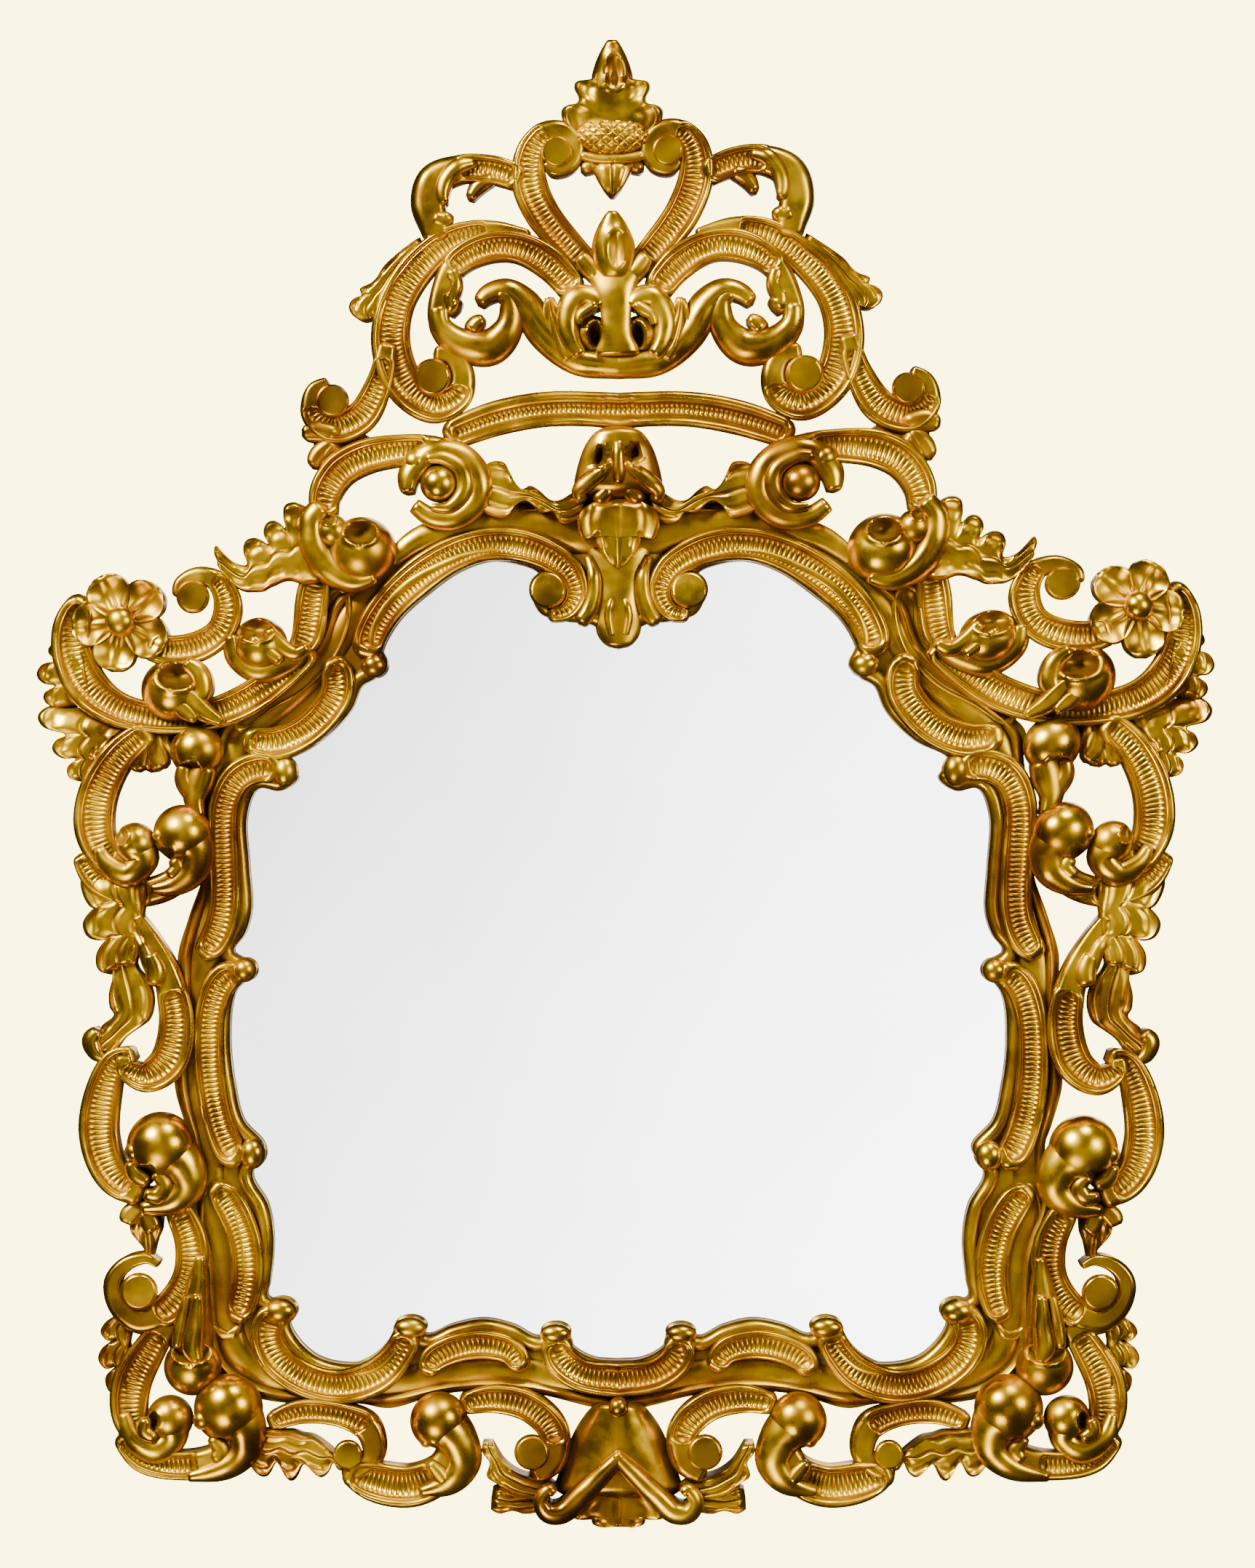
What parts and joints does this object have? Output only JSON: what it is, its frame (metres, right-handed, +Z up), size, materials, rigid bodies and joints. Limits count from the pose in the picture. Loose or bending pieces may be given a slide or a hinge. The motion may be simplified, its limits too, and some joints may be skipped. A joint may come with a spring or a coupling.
{
  "type": "carved giltwood wall mirror",
  "caption": "Carved and pierced giltwood wall mirror with an openwork cresting of scrolls, scrolled sides and apron, and a shaped glass.",
  "frame": {"origin": "the hanging point on the frame's flat back, behind the bell on the top rail", "axes": "+X to the right as you face the glass, +Z up, the glass faces -Y and the flat back faces +Y"},
  "size_m": [1.055, 0.066, 1.331],
  "materials": {
    "gilding": "water-gilt carved limewood, burnished on the high places and worn to brown in the hollows",
    "silvered_glass": "polished silvered plate glass",
    "bare_pine": "bare sawn pine, darkened with age"
  },
  "bodies": {
    "root": {"carved_frame": "gilding", "mirror_plate": "silvered_glass", "backboard": "bare_pine"}
  },
  "joints": []
}
